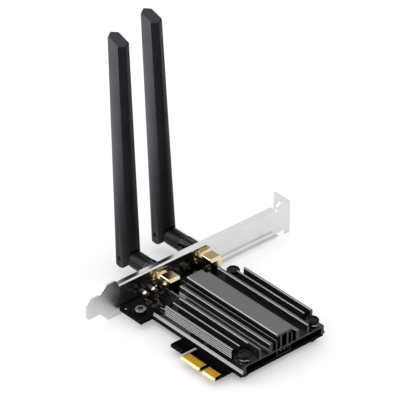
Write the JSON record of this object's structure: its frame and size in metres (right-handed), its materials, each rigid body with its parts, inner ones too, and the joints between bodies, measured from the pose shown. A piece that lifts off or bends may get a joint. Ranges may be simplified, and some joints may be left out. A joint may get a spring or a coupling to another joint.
{
  "type": "wireless network card",
  "caption": "Expansion-slot wireless card with a slotted contact edge, steel bracket, finned heat sink and folding antennas on coaxial jacks.",
  "frame": {"origin": "middle of the key notch in the contact edge, on the contact edge, mid-thickness of the board", "axes": "+X along the contact edge away from the bracket, +Y from the contacts towards the bracket's screw tab, +Z out of the component side"},
  "size_m": [0.1127, 0.1201, 0.1194],
  "materials": {
    "board_mask": "gloss black solder mask",
    "contact_gold": "polished gold plate",
    "bracket_nickel": "bright nickel plate",
    "screw_steel": "bright zinc plate",
    "sink_anodised": "satin black anodised",
    "pin_black": "gloss black",
    "spring_steel": "drawn wire",
    "module_laminate": "dark green laminate",
    "shield_tin": "tinned sheet",
    "pad_grey": "soft grey pad",
    "header_black": "moulded black",
    "pin_gold": "gold plate",
    "jack_gold": "polished gold plate",
    "insulator_white": "white insulator",
    "collar_black": "satin black",
    "antenna_black": "fine matte black",
    "hinge_steel": "dark steel",
    "radiator_laminate": "copper-clad laminate",
    "light_clear": "clear lens",
    "ceramic_tan": "tan ceramic",
    "ceramic_black": "black film on ceramic",
    "chip_black": "moulded black",
    "ferrite_grey": "dark ferrite"
  },
  "bodies": {
    "card": {"board": "board_mask", "contacts_top": "contact_gold", "contacts_bottom": "contact_gold", "bracket": "bracket_nickel", "bracket_screw": "screw_steel", "heat_sink": "sink_anodised", "push_pins": "pin_black", "pin_springs": "spring_steel", "module_base": "module_laminate", "module_shield": "shield_tin", "thermal_pad": "pad_grey", "header_housing": "header_black", "header_pins": "pin_gold", "jack_left": "jack_gold", "jack_right": "jack_gold", "lock_washers": "jack_gold", "jack_insulators": "insulator_white", "jack_contacts": "pin_gold", "collar_left": "collar_black", "collar_right": "collar_black", "status_lights": "light_clear", "capacitors": "ceramic_tan", "resistors": "ceramic_black", "regulator": "chip_black", "inductor": "ferrite_grey"},
    "arm_left": {"knuckle_left": "antenna_black"},
    "arm_right": {"knuckle_right": "antenna_black"},
    "antenna_left": {"blade_left": "antenna_black", "radiator_left": "radiator_laminate", "hinge_pin_left": "hinge_steel"},
    "antenna_right": {"blade_right": "antenna_black", "radiator_right": "radiator_laminate", "hinge_pin_right": "hinge_steel"}
  },
  "joints": [
    {"name": "swivel_left", "type": "hinge", "parent": "card", "child": "arm_left", "pos_m": [-0.08106, 0.0289, 0.00635], "axis": [1, 0, 0], "range_deg": [0, 90]},
    {"name": "tilt_left", "type": "hinge", "parent": "arm_left", "child": "antenna_left", "pos_m": [-0.08106, 0.0289, 0.00635], "axis": [0, -1, 0], "range_deg": [0, 87.2]},
    {"name": "swivel_right", "type": "hinge", "parent": "card", "child": "arm_right", "pos_m": [-0.08506, 0.0531, 0.00635], "axis": [-1, 0, 0], "range_deg": [0, 90]},
    {"name": "tilt_right", "type": "hinge", "parent": "arm_right", "child": "antenna_right", "pos_m": [-0.08506, 0.0531, 0.00635], "axis": [0, -1, 0], "range_deg": [0, 85.8]}
  ]
}
